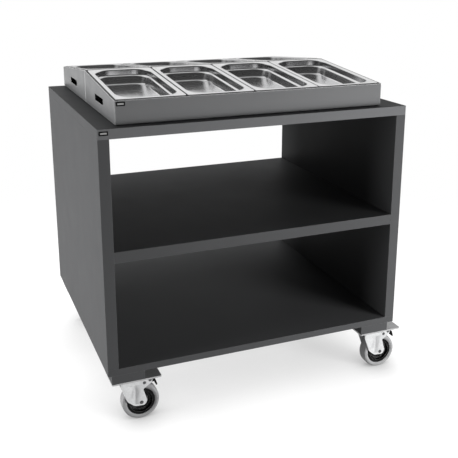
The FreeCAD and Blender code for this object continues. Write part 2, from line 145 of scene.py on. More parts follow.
# Food pans, with the corners of their stacking step as inset from the mouth and depth
PAN_LENGTH = 325.0 * MM
PAN_WIDTH = 176.0 * MM
PAN_RIM = 12.0 * MM
PAN_RIM_CORNER = 9.0 * MM
PAN_LIP = 5.0 * MM
PAN_LIP_ROUND = 1.8 * MM
PAN_CORNER = 46.0 * MM
PAN_MOUTH_ROUND = 3.2 * MM
PAN_DEPTH = 40.0 * MM
PAN_FLOOR_INSET = 8.4 * MM
PAN_FLOOR_ROUND = 4.5 * MM
PAN_FLOOR_SUPPORT = 24.0 * MM
PAN_STEP_TOP = (0.6 * MM, 16.5 * MM)
PAN_STEP_FOOT = (4.5 * MM, 18.9 * MM)
PAN_STEP_ROUND = 3.0 * MM
PAN_SHEET = 1.0 * MM
PAN_CORNER_STEPS = 16
PAN_BEND_STEPS = 5
PAN_SUPPORT = 4.0 * MM

# Wheels, with the face of the wheel centre from rim to hub in millimetres below the rim and below the side
TYRE_HEIGHT = 12.0 * MM
TYRE_WAIST = 2.0 * MM
TYRE_SIDE = 8.0 * MM
TYRE_SHOULDER = 6.0 * MM
TYRE_DOME = 0.4 * MM
TYRE_TREAD = 10.0 * MM
HUB_PROUD = 1.0 * MM
WHEEL_FACE = (
    (0.0, 3.0), (0.8, 2.4), (6.6, 2.4), (7.6, 3.2), (8.6, 9.4), (9.6, 10.0),
    (11.4, 10.0), (11.8, 8.6), (13.4, 8.6), (13.8, 10.0), (18.2, 10.0), (18.6, 8.8),
    (20.0, 8.8), (20.4, 10.0), (22.2, 9.4), (23.4, 7.6), (23.9, 0.8), (24.6, 0.0),
)

# Axles and rivets, with the stop rivet's place from the axle
AXLE_RADIUS = 4.0 * MM
AXLE_HEAD_RADIUS = 5.0 * MM
AXLE_HEAD = 2.0 * MM
AXLE_HEAD_FLAT = 2.75 * MM
AXLE_NUT = 6.5 * MM
AXLE_NUT_WIDTH = 13.0 * MM
NUT_CHAMFER = 0.8 * MM
NUT_SLANT = 1.6
WASHER = 1.0 * MM
WASHER_RADIUS = 7.4 * MM
THREAD_END = 1.5 * MM
THREAD_CHAMFER = 0.4 * MM
RIVET_RADIUS = 4.5 * MM
RIVET_HEIGHT = 1.5 * MM
RIVET_FLAT = 0.5 * MM
RIVET_SHANK = 3.0 * MM
STOP_RIVET = (9.0 * MM, 55.0 * MM)

# Forks, with (x, z, radius) corners of leg and ear in millimetres from the axle and from the pedal's pin
SWIVEL_GAP = 0.4 * MM
FORK_SHEET = 3.0 * MM
FORK_BEND = 6.0 * MM
FORK_CROWN = 27.0 * MM
FORK_EDGE = 0.5 * MM
FORK_BROW = 50.0 * MM
FORK_BROW_ROUND = 12.0 * MM
FORK_LEG = ((-37.5, 8.0, 20.0), (-19.0, -7.4, 18.0), (9.0, -9.6, 9.0), (15.6, 3.0, 9.0), (5.3, 37.0, 5.0))
FORK_EAR = ((3.0, -9.1, 5.0), (8.05, 0.7, 5.5), (-2.1, 7.0, 5.0))
CREASE_FRONT = 18.0 * MM
CREASE_RISE = 26.0 * MM
CREASE_HALF = 24.0 * MM
CREASE_RADIUS = 5.0 * MM
CREASE_DEPTH = 0.9 * MM
CREASE_STEPS = 16

# Brake pedals, with (x, z, radius) corners of arm and foot plate in millimetres from their pin
PEDAL_GAP = 0.5 * MM
PEDAL_HUB = 6.0 * MM
PEDAL_EDGE = 0.6 * MM
PEDAL_ARM_HALF = 8.0 * MM
PEDAL_PLATE_HALF = 18.0 * MM
PEDAL_ARM = ((2.6, -16.0, 3.6), (16.6, -13.0, 1.6), (8.6, 4.6, 4.0), (-4.0, 4.6, 4.0), (-4.0, -3.6, 4.0))
PEDAL_PLATE = ((16.0, -20.0, 1.4), (20.4, -19.6, 1.8), (15.2, -3.0, 1.6), (10.8, -3.6, 0.8))

# Blank badge plates, each with its name, the node it is on, its body, and its drop below the node's top
BADGE_LENGTH = 22.0 * MM
BADGE_HEIGHT = 10.5 * MM
BADGE_THICKNESS = 0.8 * MM
BADGE_ROUND = 1.5 * MM
BADGE_EDGE = 0.25 * MM
BADGE_INSET = 4.0 * MM
BADGE_BORDER = 3.2 * MM
BADGE_FIELD_EDGE = 0.3 * MM
BADGES = (
    ("top_badge", "top_panel", "carcass", 5.0 * MM),
    ("box_badge", "front_pan_box", "front_box", 33.0 * MM),
)


def grey(level, blue=0.0):
    """Grey colour, with a touch more blue where that is asked for."""
    return (level, level, level + blue)


def opaque(color):
    """Colour with its alpha, or the socket that gives it."""
    return color if isinstance(color, bpy.types.NodeSocket) else (*color, 1.0)


class Nodes:
    """Node tree, with short ways to add the nodes it needs."""

    def __init__(self, tree):
        self.nodes = tree.nodes
        self.links = tree.links

    def add(self, kind, **settings):
        """New shader node with its settings."""
        node = self.nodes.new("ShaderNode" + kind)
        for name, value in settings.items():
            setattr(node, name, value)
        return node

    def link(self, value, socket):
        """Sets a socket from a constant, or joins it to another node's output."""
        if isinstance(value, bpy.types.NodeSocket):
            self.links.new(value, socket)
        else:
            socket.default_value = value

    def parts(self, vector):
        """Sockets X, Y and Z of a vector."""
        node = self.add("SeparateXYZ")
        self.link(vector, node.inputs["Vector"])
        return node.outputs

    def ranged(self, value, span, ends, interpolation="LINEAR"):
        """Value mapped from a span to the values at its two ends, and kept between them."""
        node = self.add("MapRange", interpolation_type=interpolation)
        self.link(value, node.inputs["Value"])
        for name, number in zip(("From Min", "From Max", "To Min", "To Max"), (*span, *ends)):
            node.inputs[name].default_value = number
        return node.outputs["Result"]

    def math(self, operation, first, second):
        """Two values combined."""
        node = self.add("Math", operation=operation)
        self.link(first, node.inputs[0])
        self.link(second, node.inputs[1])
        return node.outputs["Value"]

    def blend(self, factor, first, second):
        """Blend of two values."""
        node = self.add("Mix")
        for name, value in (("Factor", factor), ("A", first), ("B", second)):
            self.link(value, node.inputs[name])
        return node.outputs["Result"]


class Tree(Nodes):
    """Node tree of one procedural material."""

    def __init__(self, name):
        self.material = bpy.data.materials.new(name)
        self.material.use_nodes = True
        super().__init__(self.material.node_tree)
        self.shader = self.nodes["Principled BSDF"]
        self.place = self.add("TexCoord").outputs["Object"]

    def noise(self, scale, detail, stretch=(1, 1, 1)):
        """Noise between 0 and 1, with object coordinates scaled by a different amount along each axis."""
        mapping = self.add("Mapping")
        self.link(self.place, mapping.inputs["Vector"])
        mapping.inputs["Scale"].default_value = stretch
        node = self.add("TexNoise")
        self.link(mapping.outputs["Vector"], node.inputs["Vector"])
        node.inputs["Scale"].default_value = scale
        node.inputs["Detail"].default_value = detail
        return node.outputs["Fac"]

    def mix(self, factor, first, second):
        """Blend of two colours."""
        node = self.add("Mix", data_type="RGBA")
        self.link(factor, node.inputs["Factor"])
        self.link(opaque(first), node.inputs[MIX_FIRST])
        self.link(opaque(second), node.inputs[MIX_SECOND])
        return node.outputs[MIX_RESULT]

    def edges(self, radius):
        """Mask of the edges of the mesh, where a rounded normal leaves the flat one."""
        bevel = self.add("Bevel", samples=EDGE_SAMPLES)
        bevel.inputs["Radius"].default_value = radius
        dot = self.add("VectorMath", operation="DOT_PRODUCT")
        self.link(bevel.outputs["Normal"], dot.inputs[0])
        self.link(self.add("NewGeometry").outputs["Normal"], dot.inputs[1])
        return self.ranged(dot.outputs["Value"], EDGE_SPAN, UNIT)

    def wear_and_highlight(self, color, radius, share, pale):
        """Colour made paler, by a share, along the edges: partly wear, partly painted highlight."""
        return self.mix(self.math("MULTIPLY", self.edges(radius), share), color, pale)

    def bump(self, height, strength, distance):
        """Bump from a height value."""
        node = self.add("Bump")
        node.inputs["Strength"].default_value = strength
        node.inputs["Distance"].default_value = distance
        self.link(height, node.inputs["Height"])
        self.link(node.outputs["Normal"], self.shader.inputs["Normal"])

    def finish(self, color, roughness, **constants):
        """Joins colour and roughness to the shader, and sets its constants."""
        self.link(opaque(color), self.shader.inputs["Base Color"])
        self.link(roughness, self.shader.inputs["Roughness"])
        for name, value in constants.items():
            self.shader.inputs[name.replace("_", " ")].default_value = value
        return self.material


def board_material(name, shade):
    """Anthracite laminate: fine pearl grain, faint clouding, and edges painted a little lighter, partly wear and
    partly painted highlight.
    """
    dark, light, pearly = (tuple(shade * tone * tint for tint in BOARD_TINT) for tone in BOARD_TONES)
    tree = Tree(name)
    cloud = tree.noise(scale=3.5, detail=5.0)
    pearl = tree.noise(scale=900.0, detail=2.0)
    tone = tree.mix(tree.ranged(cloud, NOISE_SPAN, UNIT), dark, light)
    tone = tree.mix(tree.ranged(pearl, (0.35, 0.7), (0.0, 0.4)), tone, pearly)
    # Edges painted paler: partly wear, partly painted highlight
    tone = tree.wear_and_highlight(tone, radius=1.2 * MM, share=0.35, pale=grey(0.24))
    roughness = tree.ranged(tree.noise(scale=14.0, detail=6.0), NOISE_SPAN, (0.52, 0.57))
    tree.bump(pearl, strength=0.08, distance=0.2 * MM)
    return tree.finish(tone, roughness, Specular_IOR_Level=0.05)


def paint_material():
    """Anthracite powder coat with orange peel, its edges painted bright as a painted highlight, and a paler band
    painted along the ridge.
    """
    dark, light = (0.162, 0.164, 0.167), (0.174, 0.176, 0.179)
    highlight_tone, band_tone = grey(0.7, 0.005), grey(0.5, 0.005)
    tree = Tree("box_powder_coat")
    low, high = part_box("front_pan_box")
    # Paler band painted along the ridge
    ridge = (high.y - low.y) / 2 - BOX_RIDGE_BAND
    ridge_band = tree.ranged(tree.parts(tree.place)["Y"], (ridge, ridge + BOX_RIDGE_BAND_EDGE), UNIT)
    cloud = tree.noise(scale=5.0, detail=4.0)
    peel = tree.noise(scale=1400.0, detail=2.0)
    tone = tree.mix(tree.ranged(cloud, NOISE_SPAN, UNIT), dark, light)
    # Edges painted bright: painted highlight
    tone = tree.wear_and_highlight(tone, radius=3.0 * MM, share=0.9, pale=highlight_tone)
    tone = tree.mix(ridge_band, tone, band_tone)
    roughness = tree.ranged(tree.noise(scale=20.0, detail=5.0), NOISE_SPAN, (0.36, 0.46))
    tree.bump(peel, strength=0.1, distance=0.15 * MM)
    return tree.finish(tone, roughness, Specular_IOR_Level=0.4)


def pan_material():
    """Stainless steel, drawn and polished, with fine brush lines along the pan and soft smears."""
    tree = Tree("pan_stainless")
    brush = tree.noise(scale=60.0, detail=3.0, stretch=(14.0, 0.4, 14.0))
    smear = tree.noise(scale=11.0, detail=5.0)
    tone = tree.mix(tree.ranged(brush, NOISE_SPAN, UNIT), grey(0.7, 0.005), grey(0.78, 0.005))
    smeared = tree.ranged(smear, (0.3, 0.75), (0.1, 0.2))
    brushed = tree.ranged(brush, NOISE_SPAN, (0.0, 0.06))
    tree.bump(brush, strength=0.05, distance=0.1 * MM)
    return tree.finish(tone, tree.math("ADD", smeared, brushed), Metallic=1.0)


def zinc_material(name, low, high, rough, metal):
    """Zinc plated steel with a faint spangle, and edges painted paler, partly wear and partly painted highlight.
    """
    tree = Tree(name)
    spangle = tree.noise(scale=260.0, detail=3.0)
    tone = tree.mix(tree.ranged(spangle, (0.35, 0.65), UNIT), low, high)
    # Edges painted paler: partly wear, partly painted highlight
    tone = tree.wear_and_highlight(tone, radius=0.5 * MM, share=0.4, pale=grey(0.85))
    patches = tree.noise(scale=90.0, detail=4.0)
    roughness = tree.ranged(patches, NOISE_SPAN, (rough, rough + ZINC_ROUGHER))
    tree.bump(spangle, strength=0.06, distance=0.1 * MM)
    return tree.finish(tone, roughness, Metallic=metal)


def plastic_material(name, dark, light, rough, shine=0.25, wear_and_highlight=0.0):
    """Moulded plastic or rubber with a fine grain, dusty patches, and, where asked for, edges painted lighter as a
    painted highlight.
    """
    tree = Tree(name)
    dust = tree.noise(scale=45.0, detail=5.0)
    grain = tree.noise(scale=2200.0, detail=2.0)
    tone = tree.mix(tree.ranged(dust, (0.4, 0.75), UNIT), dark, light)
    # Edges painted paler where asked for: painted highlight
    if wear_and_highlight:
        tone = tree.wear_and_highlight(tone, radius=0.7 * MM, share=wear_and_highlight, pale=grey(0.3))
    patches = tree.noise(scale=120.0, detail=4.0)
    roughness = tree.ranged(patches, NOISE_SPAN, (rough - PLASTIC_SMOOTHER, rough + PLASTIC_ROUGHER))
    tree.bump(grain, strength=0.12, distance=0.15 * MM)
    return tree.finish(tone, roughness, Specular_IOR_Level=shine)


def badge_material():
    """Blank badge: black moulding with a plain pale field in its middle."""
    tree = Tree("blank_badge")
    place = tree.parts(tree.place)
    inside = []
    for axis, length in (("X", BADGE_LENGTH), ("Z", BADGE_HEIGHT)):
        off_centre = tree.math("ABSOLUTE", tree.math("SUBTRACT", place[axis], length / 2), 0.0)
        edge = length / 2 - BADGE_BORDER
        inside.append(tree.ranged(off_centre, (edge - BADGE_FIELD_EDGE, edge), (1.0, 0.0)))
    grain = tree.noise(scale=900.0, detail=2.0)
    tone = tree.mix(tree.math("MULTIPLY", *inside), grey(0.008), grey(0.4))
    tree.bump(grain, strength=0.05, distance=0.1 * MM)
    return tree.finish(tone, tree.ranged(grain, NOISE_SPAN, (0.38, 0.46)), Specular_IOR_Level=0.2)


def wood_material():
    """Plain beech with a straight grain."""
    tree = Tree("dowel_beech")
    grain = tree.noise(scale=70.0, detail=5.0, stretch=(8.0, 8.0, 0.5))
    tone = tree.mix(tree.ranged(grain, NOISE_SPAN, UNIT), (0.52, 0.37, 0.23), (0.68, 0.52, 0.35))
    tree.bump(grain, strength=0.15, distance=0.3 * MM)
    return tree.finish(tone, tree.ranged(grain, NOISE_SPAN, (0.5, 0.65)))


def floor_material():
    """White paper with contact shadows, mirrored dimly in front, and fading into the backdrop."""
    tree = Tree("floor_paper")
    rays = tree.add("LightPath").outputs
    shades = []
    for distance, ends in CONTACT_SHADES:
        contact = tree.add("AmbientOcclusion", samples=CONTACT_SAMPLES)
        contact.inputs["Distance"].default_value = distance
        shades.append(tree.ranged(contact.outputs["AO"], CONTACT_SPAN, ends))
    dimmed = tree.ranged(tree.parts(tree.place)["Y"], *FLOOR_MIRRORED)
    mirrored_level = tree.math("MULTIPLY", rays["Is Glossy Ray"], dimmed)
    level = tree.math("MAXIMUM", rays["Is Camera Ray"], mirrored_level)
    glow = tree.math("MULTIPLY", level, tree.math("MULTIPLY", *shades))
    tree.link(glow, tree.shader.inputs["Emission Strength"])
    away = tree.add("VectorMath", operation="LENGTH")
    tree.link(tree.place, away.inputs[0])
    fade = tree.ranged(away.outputs["Value"], *FLOOR_FADE, interpolation="SMOOTHSTEP")
    blend = tree.add("MixShader")
    tree.link(tree.math("MULTIPLY", fade, rays["Is Camera Ray"]), blend.inputs["Fac"])
    tree.link(tree.shader.outputs["BSDF"], blend.inputs[1])
    tree.link(tree.add("BsdfTransparent").outputs["BSDF"], blend.inputs[2])
    tree.link(blend.outputs["Shader"], tree.nodes["Material Output"].inputs["Surface"])
    return tree.finish(grey(FLOOR_TONE), FLOOR_ROUGHNESS, Specular_IOR_Level=0.0, Emission_Color=WHITE)


MATERIALS = {
    "board": board_material("board_laminate", shade=1.0),
    "dowel_wood": wood_material(),
    "zinc": zinc_material(
        "castor_zinc", (0.68, 0.685, 0.69), (0.76, 0.765, 0.77), rough=0.36, metal=0.4),
    "bolt_steel": zinc_material(
        "bolt_steel", grey(0.09, 0.002), grey(0.14, 0.003), rough=0.4, metal=0.6),
    "plate_steel": zinc_material(
        "mounting_plate_steel", grey(0.46, 0.005), grey(0.56, 0.005), rough=0.42, metal=0.5),
    # Ring edges of the wheel centre painted paler: painted highlight
    "wheel_plastic": plastic_material(
        "wheel_plastic", grey(0.003), grey(0.006), rough=0.42, shine=0.1, wear_and_highlight=0.9),
    "pedal_plastic": plastic_material(
        "pedal_plastic", grey(0.006), grey(0.012), rough=0.46, shine=0.12),
    "tyre_rubber": plastic_material("tyre_rubber", grey(0.34, 0.005), grey(0.4, 0.005), rough=0.62),
    "badge": badge_material(),
    "pad_rubber": plastic_material("pad_rubber", grey(0.014), grey(0.02), rough=0.7),
    "box_paint": paint_material(),
    "pan_steel": pan_material(),
}
# Lighter copy of the laminate for the top panel's front and back faces: painted sheen
PAINTED_SHEEN_LAMINATE = board_material("board_painted_sheen", shade=PAINTED_SHEEN_LEVEL)


def dress_cad_nodes():
    """Gives every CAD node the finish of its slot."""
    for subpart in frame["record"]["subparts"]:
        for slot in frame["nodes"][subpart["node"]].material_slots:
            slot.material = MATERIALS[subpart["material_slot"]]


def body_of(node):
    """Name of the body that a CAD node rides on."""
    bodies = frame["record"]["behaviour"]["bodies"]
    return next(body for body, members in bodies.items() if node in members)


def joint(name):
    """Place and axis of a joint; a slide has no place."""
    found = next(entry for entry in frame["joints"] if entry["name"] == name)
    return Vector(found.get("pos_m", (0, 0, 0))), Vector(found["axis"])


def placed(name, data):
    """New object in the scene, of a mesh, a lamp or a camera."""
    new = bpy.data.objects.new(name, data)
    bpy.context.scene.collection.objects.link(new)
    return new


def piece_from(name, mesh, slot):
    """New piece of a mesh, with its material."""
    mesh.materials.append(MATERIALS[slot])
    return placed(name, mesh)


def stand_for(piece, node):
    """The piece rides with the node's body, and is shown in its place."""
    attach(piece, body_of(node))
    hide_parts(node)


def smooth(mesh):
    """Shades every face of a mesh smooth."""
    for polygon in mesh.polygons:
        polygon.use_smooth = True


def mesh_of(name, vertices, faces, sharp_degrees=SHARP):
    """Mesh with outward normals, smooth but for its sharp edges."""
    mesh = bpy.data.meshes.new(name)
    mesh.from_pydata([tuple(v) for v in vertices], [], faces)
    work = bmesh.new()
    work.from_mesh(mesh)
    bmesh.ops.recalc_face_normals(work, faces=work.faces)
    work.to_mesh(mesh)
    work.free()
    smooth(mesh)
    mesh.set_sharp_from_angle(angle=math.radians(sharp_degrees))
    return mesh


def mesh_from(work, name):
    """Mesh of a finished bmesh."""
    mesh = bpy.data.meshes.new(name)
    work.to_mesh(mesh)
    work.free()
    return mesh


def settle(piece):
    """Applies the modifiers of a piece to its mesh."""
    evaluated = piece.evaluated_get(bpy.context.evaluated_depsgraph_get())
    mesh = bpy.data.meshes.new_from_object(evaluated)
    piece.modifiers.clear()
    piece.data = mesh


def rounded_ring(half_x, half_y, radius, steps, support=0.0):
    """Points round a rectangle with rounded corners, with a support point beside each end of an arc."""
    points = []
    for quarter, (side_x, side_y) in enumerate(((1, 1), (-1, 1), (-1, -1), (1, -1))):
        centre = Vector((side_x * (half_x - radius), side_y * (half_y - radius)))
        angles = [math.pi / 2 * (quarter + step / steps) for step in range(steps + 1)]
        arc = [centre + radius * Vector((math.cos(a), math.sin(a))) for a in angles]
        if support:
            before = Vector((math.sin(angles[0]), -math.cos(angles[0])))
            after = Vector((-math.sin(angles[-1]), math.cos(angles[-1])))
            arc = [arc[0] + before * support] + arc + [arc[-1] + after * support]
        points += arc
    return points


def outline(corners, steps=ARC_STEPS):
    """Points round a side view of (x, z, radius) corners, each rounded to its radius."""
    points = []
    for index, (x, z, radius) in enumerate(corners):
        here = Vector((x, z))
        before = (Vector(corners[index - 1][:2]) - here).normalized()
        after = (Vector(corners[(index + 1) % len(corners)][:2]) - here).normalized()
        if radius == 0.0:
            points.append(here)
            continue
        half = before.angle(after) / 2
        centre = here + (before + after).normalized() * (radius / math.sin(half))
        start = here + before * (radius / math.tan(half)) - centre
        end = here + after * (radius / math.tan(half)) - centre
        sweep = start.angle_signed(end)
        for step in range(steps + 1):
            turn = -sweep * step / steps
            points.append(centre + Matrix.Rotation(turn, 2) @ start)
    return points


def about(point, corners):
    """Corners of a side view in metres, from those in millimetres round a point."""
    return [(point.x + x * MM, point.z + z * MM, radius * MM) for x, z, radius in corners]


def folded(corners, sheet, steps):
    """Closed section of a sheet: along a line of (x, z, radius) corners, and back one sheet to its right."""
    places = [Vector(corner[:2]) for corner in corners]
    ways = [(there - here).normalized() for here, there in zip(places, places[1:])]
    back = []
    for index, (place, corner) in enumerate(zip(places, corners)):
        way_in, way_out = ways[max(index - 1, 0)], ways[min(index, len(ways) - 1)]
        right = Vector((way_in.y + way_out.y, -way_in.x - way_out.x)) / (1 + way_in.dot(way_out))
        moved = place + sheet * right
        bend = math.copysign(sheet, way_in.cross(way_out))
        back.append((moved.x, moved.y, corner[2] + bend if corner[2] else 0.0))
    return outline(corners + back[::-1], steps)


def skin(rings, closed):
    """Faces between rings of equally many points, joined end to end or capped."""
    count = len(rings[0])
    faces = []
    last = len(rings) if closed else len(rings) - 1
    for ring in range(last):
        a, b = ring * count, (ring + 1) % len(rings) * count
        faces += [(a + i, a + (i + 1) % count, b + (i + 1) % count, b + i) for i in range(count)]
    if not closed:
        faces.append(tuple(range(count)))
        faces.append(tuple(range((len(rings) - 1) * count, len(rings) * count)))
    return faces


def ring_mesh(name, rings, closed=False, sharp_degrees=SHARP):
    """Mesh of the skin over rings of points."""
    vertices = [point for ring in rings for point in ring]
    return mesh_of(name, vertices, skin(rings, closed), sharp_degrees)


def joined(name, parts, sharp_degrees=SHARP):
    """One mesh of several closed shells, each a list of capped rings."""
    vertices, faces = [], []
    for rings in parts:
        start = len(vertices)
        vertices += [point for ring in rings for point in ring]
        faces += [tuple(start + index for index in face) for face in skin(rings, closed=False)]
    return mesh_of(name, vertices, faces, sharp_degrees)


def prism(name, points, near, far):
    """Straight solid between two depths on a side view."""
    return ring_mesh(name, [[Vector((p.x, y, p.y)) for p in points] for y in (near, far)])


def lathe(name, profile, sharp_degrees):
    """Closed profile of (radius, across) points turned round the Y axis."""
    rings = []
    for step in range(TURN_STEPS):
        angle = 2 * math.pi * step / TURN_STEPS
        rings.append([Vector((r * math.cos(angle), across, r * math.sin(angle))) for r, across in profile])
    return ring_mesh(name, rings, closed=True, sharp_degrees=sharp_degrees)


def combined(name, first, others, operations, edge, slot):
    """Mesh of a first one joined with or cut by others, with its sharp edges rounded."""
    piece = piece_from(name, first, slot)
    tools = []
    for mesh, operation in zip(others, operations):
        tool = placed(name + "_tool", mesh)
        modifier = piece.modifiers.new("shape", "BOOLEAN")
        modifier.object, modifier.operation, modifier.solver = tool, operation, "EXACT"
        tools.append(tool)
    piece.modifiers.new("merged", "WELD").merge_threshold = WELD_GAP
    bevel = piece.modifiers.new("edges", "BEVEL")
    bevel.width, bevel.segments = edge, BEVEL_STEPS
    bevel.limit_method, bevel.angle_limit = "ANGLE", math.radians(BEVEL_SHARP)
    piece.modifiers.new("weighted", "WEIGHTED_NORMAL")
    settle(piece)
    mesh = piece.data
    for used in tools + [piece]:
        bpy.data.objects.remove(used)
    smooth(mesh)
    return mesh


def make_board(node):
    """Board with finely rounded edges; the top panel's front and back faces get a lighter copy of the laminate:
    painted sheen.
    """
    low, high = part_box(node)
    work = bmesh.new()
    bmesh.ops.create_cube(work, size=1.0)
    fitted = Matrix.Translation((low + high) / 2) @ Matrix.Diagonal((*(high - low), 1))
    bmesh.ops.transform(work, matrix=fitted, verts=work.verts)
    bmesh.ops.bevel(work, geom=work.edges, offset=BOARD_ROUND, segments=BOARD_ROUND_STEPS,
                    profile=BOARD_ROUND_PROFILE, affect="EDGES")
    mesh = mesh_from(work, node + "_board")
    smooth(mesh)
    piece = piece_from(node + "_board", mesh, "board")
    # Front and back faces of the top panel get the painted sheen copy
    if node == SHEEN_PAINTED_BOARD:
        mesh.materials.append(PAINTED_SHEEN_LAMINATE)
        for polygon in mesh.polygons:
            polygon.material_index = int(abs(polygon.normal.y) > PAINTED_SHEEN_NORMAL)
    piece.modifiers.new("weighted", "WEIGHTED_NORMAL")
    settle(piece)
    stand_for(piece, node)


def pan_mesh():
    """Food pan round its own centre, rim top at height 0, from a section with the mouth of its bowl at 0."""
    section = folded([
        (-PAN_FLOOR_SUPPORT, -PAN_DEPTH, 0.0),
        (-PAN_FLOOR_INSET, -PAN_DEPTH, PAN_FLOOR_ROUND),
        (-PAN_STEP_FOOT[0], -PAN_STEP_FOOT[1], PAN_STEP_ROUND),
        (-PAN_STEP_TOP[0], -PAN_STEP_TOP[1], PAN_STEP_ROUND),
        (0.0, 0.0, PAN_MOUTH_ROUND),
        (PAN_RIM, 0.0, PAN_LIP_ROUND),
        (PAN_RIM, -PAN_LIP, 0.0),
    ], PAN_SHEET, PAN_BEND_STEPS)
    rings = []
    for reach, height in section:
        half_x, half_y = (size / 2 - PAN_RIM + reach for size in (PAN_WIDTH, PAN_LENGTH))
        corner = PAN_CORNER + reach if reach < PAN_RIM / 2 else PAN_RIM_CORNER - PAN_RIM + reach
        points = rounded_ring(half_x, half_y, corner, PAN_CORNER_STEPS, PAN_SUPPORT)
        rings.append([Vector((p.x, p.y, height)) for p in points])
    return ring_mesh("pan_sheet", rings, sharp_degrees=PAN_SHARP)


def pan_place(end, number):
    """Turns and moves a pan from its own centre to its place on the slope."""
    node = "%s_pan_%d" % (end, number)
    low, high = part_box(node)
    normal = joint(node + "_lift")[1]
    across = Vector((1, 0, 0)) if end == "front" else Vector((-1, 0, 0))
    along = normal.cross(across)
    reach = along * (PAN_LENGTH / 2)
    outer_y = low.y if end == "front" else high.y
    centre = Vector(((low.x + high.x) / 2, outer_y + reach.y, high.z - reach.z))
    place = Matrix((across, along, normal)).transposed().to_4x4()
    place.translation = centre
    return place


def make_pans():
    """All eight pans, sharing one mesh."""
    mesh = pan_mesh()
    mesh.materials.append(MATERIALS["pan_steel"])
    for end in ENDS:
        for number in PANS:
            node = "%s_pan_%d" % (end, number)
            piece = placed(node + "_sheet", mesh)
            piece.matrix_world = pan_place(end, number)
            stand_for(piece, node)


def box_mesh(name, half, foot, ledge, top, rise):
    """Folded sheet of a box round its own centre; the heights of ledge and top are those in its middle."""
    wall, shelf, flange = BOX_SHEET, BOX_SHEET + BOX_LEDGE, BOX_SHEET + BOX_FLANGE
    hem, eased = BOX_HEM, BOX_HEM_EASE * BOX_HEM
    profile = [
        (0.0, foot, 0), (0.0, top - hem, 1), (eased, top - eased, 1), (hem, top, 1),
        (wall - hem, top, 1), (wall - eased, top - eased, 1), (wall, top - hem, 1),
        (wall, ledge, 1), (shelf, ledge, 1), (shelf, ledge - BOX_SHEET, 1), (wall, ledge - BOX_SHEET, 1),
        (wall, foot + BOX_SHEET, 0), (flange, foot + BOX_SHEET, 0), (flange, foot, 0),
    ]
    rings = []
    for inset, height, sloped in profile:
        corner = max(BOX_CORNER - inset, BOX_CORNER_LEAST)
        points = rounded_ring(half.x - inset, half.y - inset, corner, BOX_CORNER_STEPS)
        rings.append([Vector((p.x, p.y, height + sloped * rise * p.y)) for p in points])
    return ring_mesh(name, rings, closed=True)


def hand_slot_cutter(half_length, height):
    """Rounded bar through both ends of a box, to cut the hand slots."""
    section = rounded_ring(SLOT_LENGTH / 2, SLOT_HEIGHT / 2, SLOT_ROUND, SLOT_STEPS)
    reach = half_length * SLOT_REACH
    rings = [[Vector((x, p.x, height + p.y)) for p in section] for x in (-reach, reach)]
    return placed("slot_cutter", ring_mesh("slot_cutter", rings))


def make_pan_box(end):
    """Box with a hemmed sloping top, a ledge for the pans, a foot flange, and a hand slot in each end."""
    node = end + "_pan_box"
    low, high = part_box(node)
    half, middle = (high - low) / 2, (low + high) / 2
    slope = joint(end + "_pan_1_lift")[1]
    rise = abs(slope.y) / slope.z
    rim_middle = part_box(end + "_pan_1")[1].z - PAN_LENGTH / 2 * abs(slope.y)
    ledge = rim_middle - PAN_LIP / slope.z
    top = high.z - half.y * rise
    name = end + "_box_sheet"
    piece = piece_from(name, box_mesh(name, half, low.z, ledge, top, rise), "box_paint")
    cutter = hand_slot_cutter(half.x, low.z + SLOT_CENTRE)
    boolean = piece.modifiers.new("slots", "BOOLEAN")
    boolean.object = cutter
    boolean.solver = "EXACT"
    piece.modifiers.new("weighted", "WEIGHTED_NORMAL")
    settle(piece)
    bpy.data.objects.remove(cutter)
    turn = Matrix.Rotation(0.0 if end == "front" else math.pi, 4, "Z")
    piece.matrix_world = Matrix.Translation((middle.x, middle.y, 0)) @ turn
    stand_for(piece, node)


def mirrored(half):
    """Corners of both sides of a wheel, from those of its near half."""
    return half + [(radius, -across, *rest) for radius, across, *rest in reversed(half)]


def tyre_mesh(radius, half_width):
    """Tyre with round shoulders and a slightly domed tread."""
    section = outline(mirrored([
        (radius - TYRE_HEIGHT, half_width - TYRE_WAIST, 0.0),
        (radius - TYRE_SIDE, half_width, TYRE_SHOULDER),
        (radius - TYRE_DOME, half_width, TYRE_SHOULDER),
        (radius, half_width - TYRE_TREAD, TYRE_SHOULDER),
    ]))
    return lathe("tyre_rubber", section, TYRE_SHARP)


def wheel_mesh(rim_radius, half_width):
    """Wheel centre: rim, recessed web with two raised rings, and hub."""
    face = [(rim_radius - below * MM, half_width - inset * MM) for below, inset in WHEEL_FACE]
    return lathe("wheel_centre", mirrored(face + [(AXLE_RADIUS, half_width)]), WHEEL_SHARP)


def hex_rings(across_flats, low, high):
    """Rings of a hexagon along Y, chamfered at its high end."""
    corner = across_flats / math.sqrt(3)
    chamfer = math.copysign(NUT_CHAMFER, high - low)
    levels = [(low, corner), (high - chamfer, corner), (high, corner - NUT_SLANT * NUT_CHAMFER)]
    turns = [k * math.pi / 3 for k in range(6)]
    return [[Vector((r * math.cos(a), y, r * math.sin(a))) for a in turns] for y, r in levels]


def round_rings(levels, centre=(0.0, 0.0)):
    """Rings of a turned solid along Y, from (across, radius) levels, round a point of its side view."""
    x, z = centre
    turns = [2 * math.pi * k / ROUND_STEPS for k in range(ROUND_STEPS)]
    return [[Vector((x + r * math.cos(a), y, z + r * math.sin(a))) for a in turns] for y, r in levels]


def dome(base, height, radius, flat):
    """Levels of a head that curves in from its base to a flat top of a smaller radius."""
    top = math.acos(flat / radius)
    turns = [top * step / DOME_STEPS for step in range(DOME_STEPS + 1)]
    return [(base + height * math.sin(a) / math.sin(top), radius * math.cos(a)) for a in turns]


